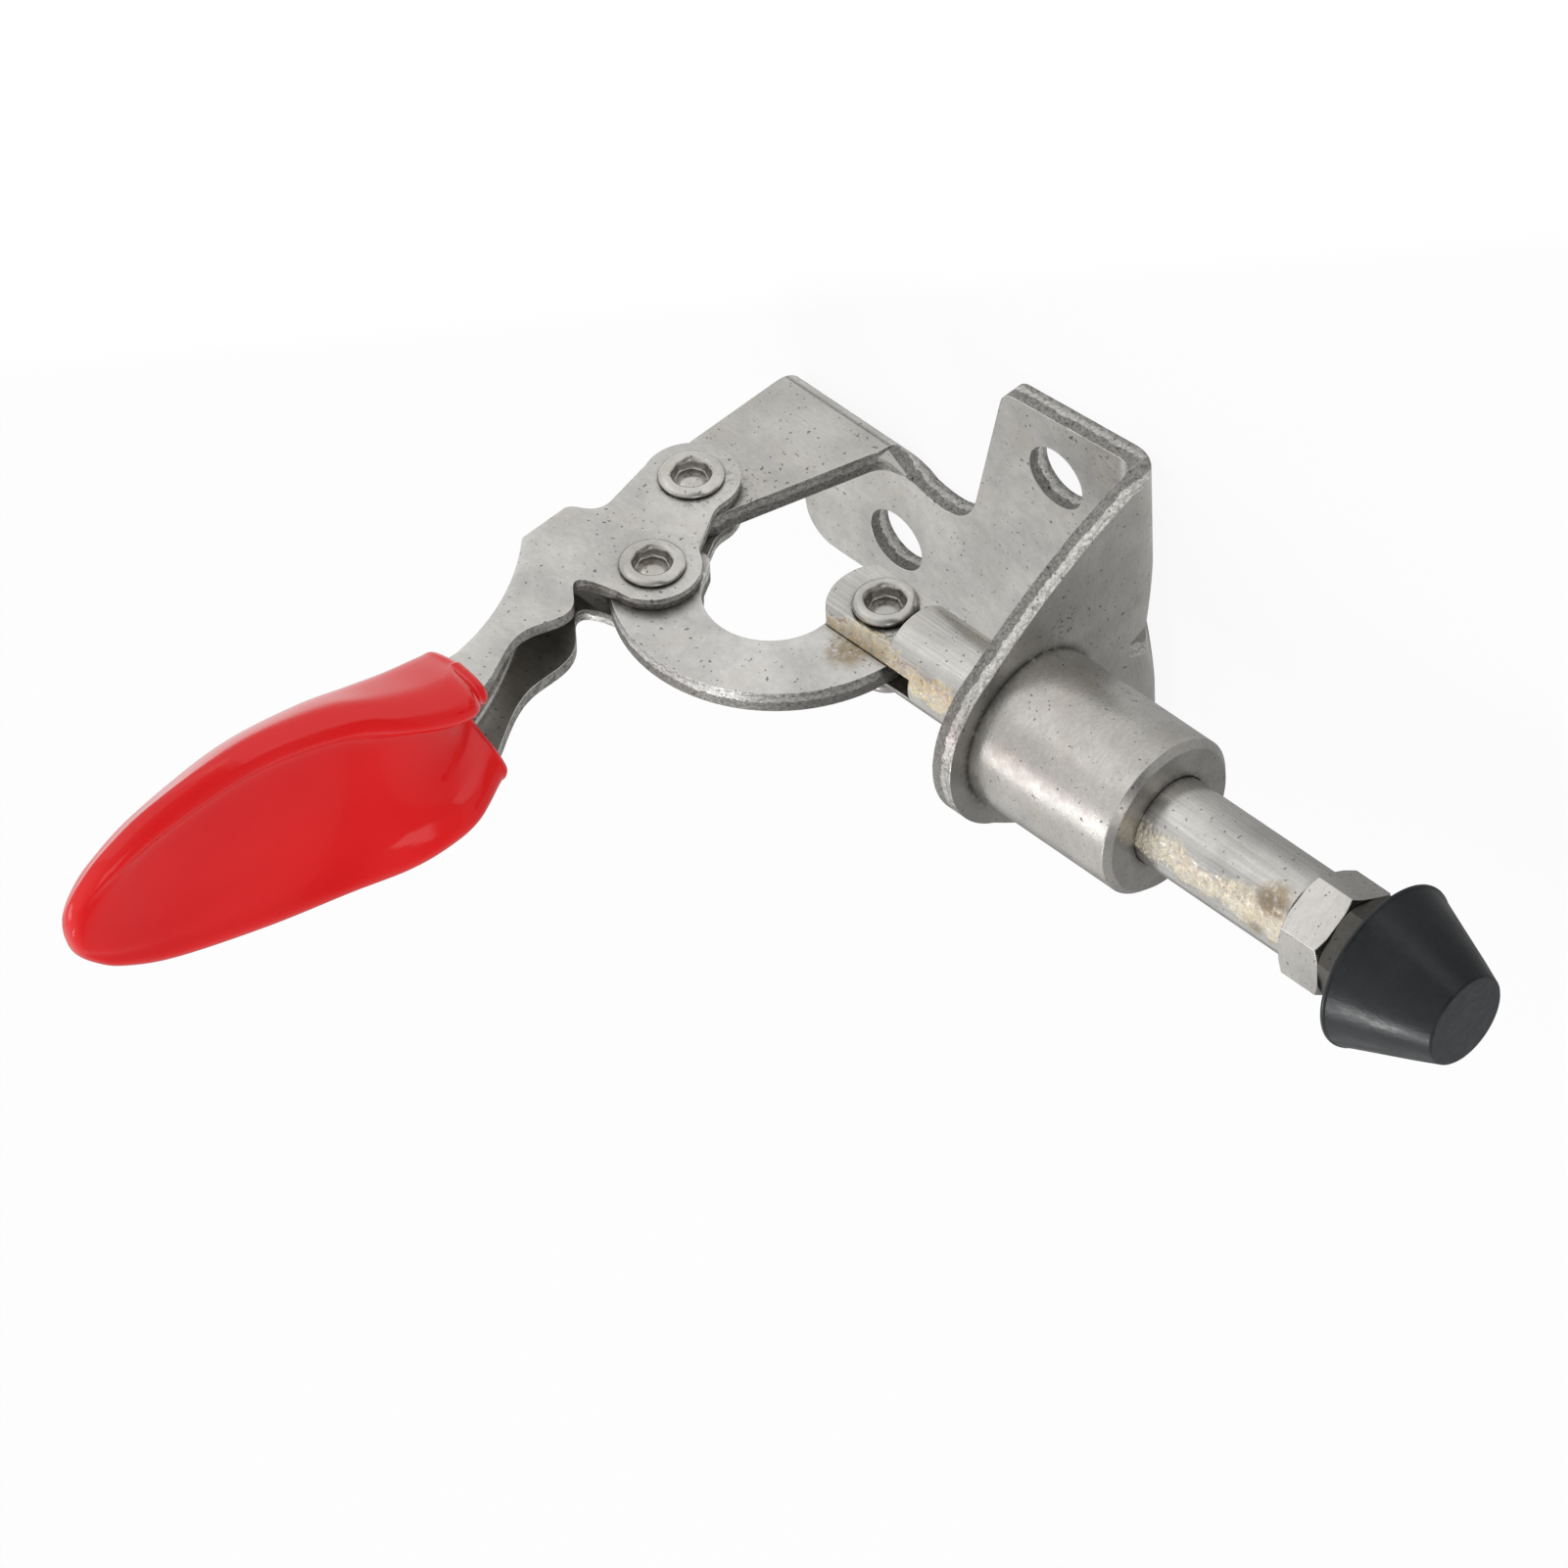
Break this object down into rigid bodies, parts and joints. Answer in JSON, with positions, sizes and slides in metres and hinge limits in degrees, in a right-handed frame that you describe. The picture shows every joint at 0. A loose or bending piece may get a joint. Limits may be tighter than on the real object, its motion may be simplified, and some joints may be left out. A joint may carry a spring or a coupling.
{
  "type": "push-pull toggle clamp",
  "caption": "Straight-line toggle clamp: a handle and a C-shaped link drive a rubber-tipped plunger through a flanged guide barrel, on a folded screw-down bracket.",
  "frame": {"origin": "on the mounting face, midway between the two front bolt holes", "axes": "+X the way the plunger pushes, +Z away from the mounting face, Y along the pivots"},
  "size_m": [0.07, 0.0258, 0.0652],
  "materials": {
    "sheet_steel": "satin stainless, mill finish with light scratches",
    "turned_steel": "satin stainless, fine turned grain, brown stains",
    "rivet_steel": "satin stainless, polished on the upset edges",
    "nut_steel": "bright stainless",
    "bolt_steel": "dark, oiled",
    "red_vinyl": "glossy dipped vinyl",
    "black_rubber": "semi-gloss moulded rubber"
  },
  "bodies": {
    "base": {"base_bracket": "sheet_steel", "guide_barrel": "turned_steel"},
    "handle": {"handle_lever": "sheet_steel", "grip_sleeve": "red_vinyl", "handle_pivot_rivet": "rivet_steel", "link_pivot_rivet": "rivet_steel"},
    "link": {"drive_link": "sheet_steel"},
    "plunger": {"plunger": "turned_steel", "plunger_pivot_rivet": "rivet_steel", "lock_nut": "nut_steel", "spindle_bolt": "bolt_steel", "rubber_tip": "black_rubber"}
  },
  "joints": [
    {"name": "handle_pivot", "type": "hinge", "parent": "base", "child": "handle", "pos_m": [-0.0208, 0, 0.0127], "axis": [0, -1, 0], "range_deg": [-61.8, 118.2]},
    {"name": "link_pivot", "type": "hinge", "parent": "handle", "child": "link", "pos_m": [-0.01697, 0, 0.01984], "axis": [0, -1, 0], "range_deg": [-89.98, 47.14]},
    {"name": "plunger_slide", "type": "slide", "parent": "base", "child": "plunger", "axis": [1, 0, 0], "range_m": [-0.01014, 0.00531]}
  ],
  "couplings": [
    {"joint": "link_pivot", "follows": "handle_pivot", "ratio": -0.75958},
    {"joint": "plunger_slide", "follows": "handle_pivot", "m_per_rad": -0.0049056}
  ]
}
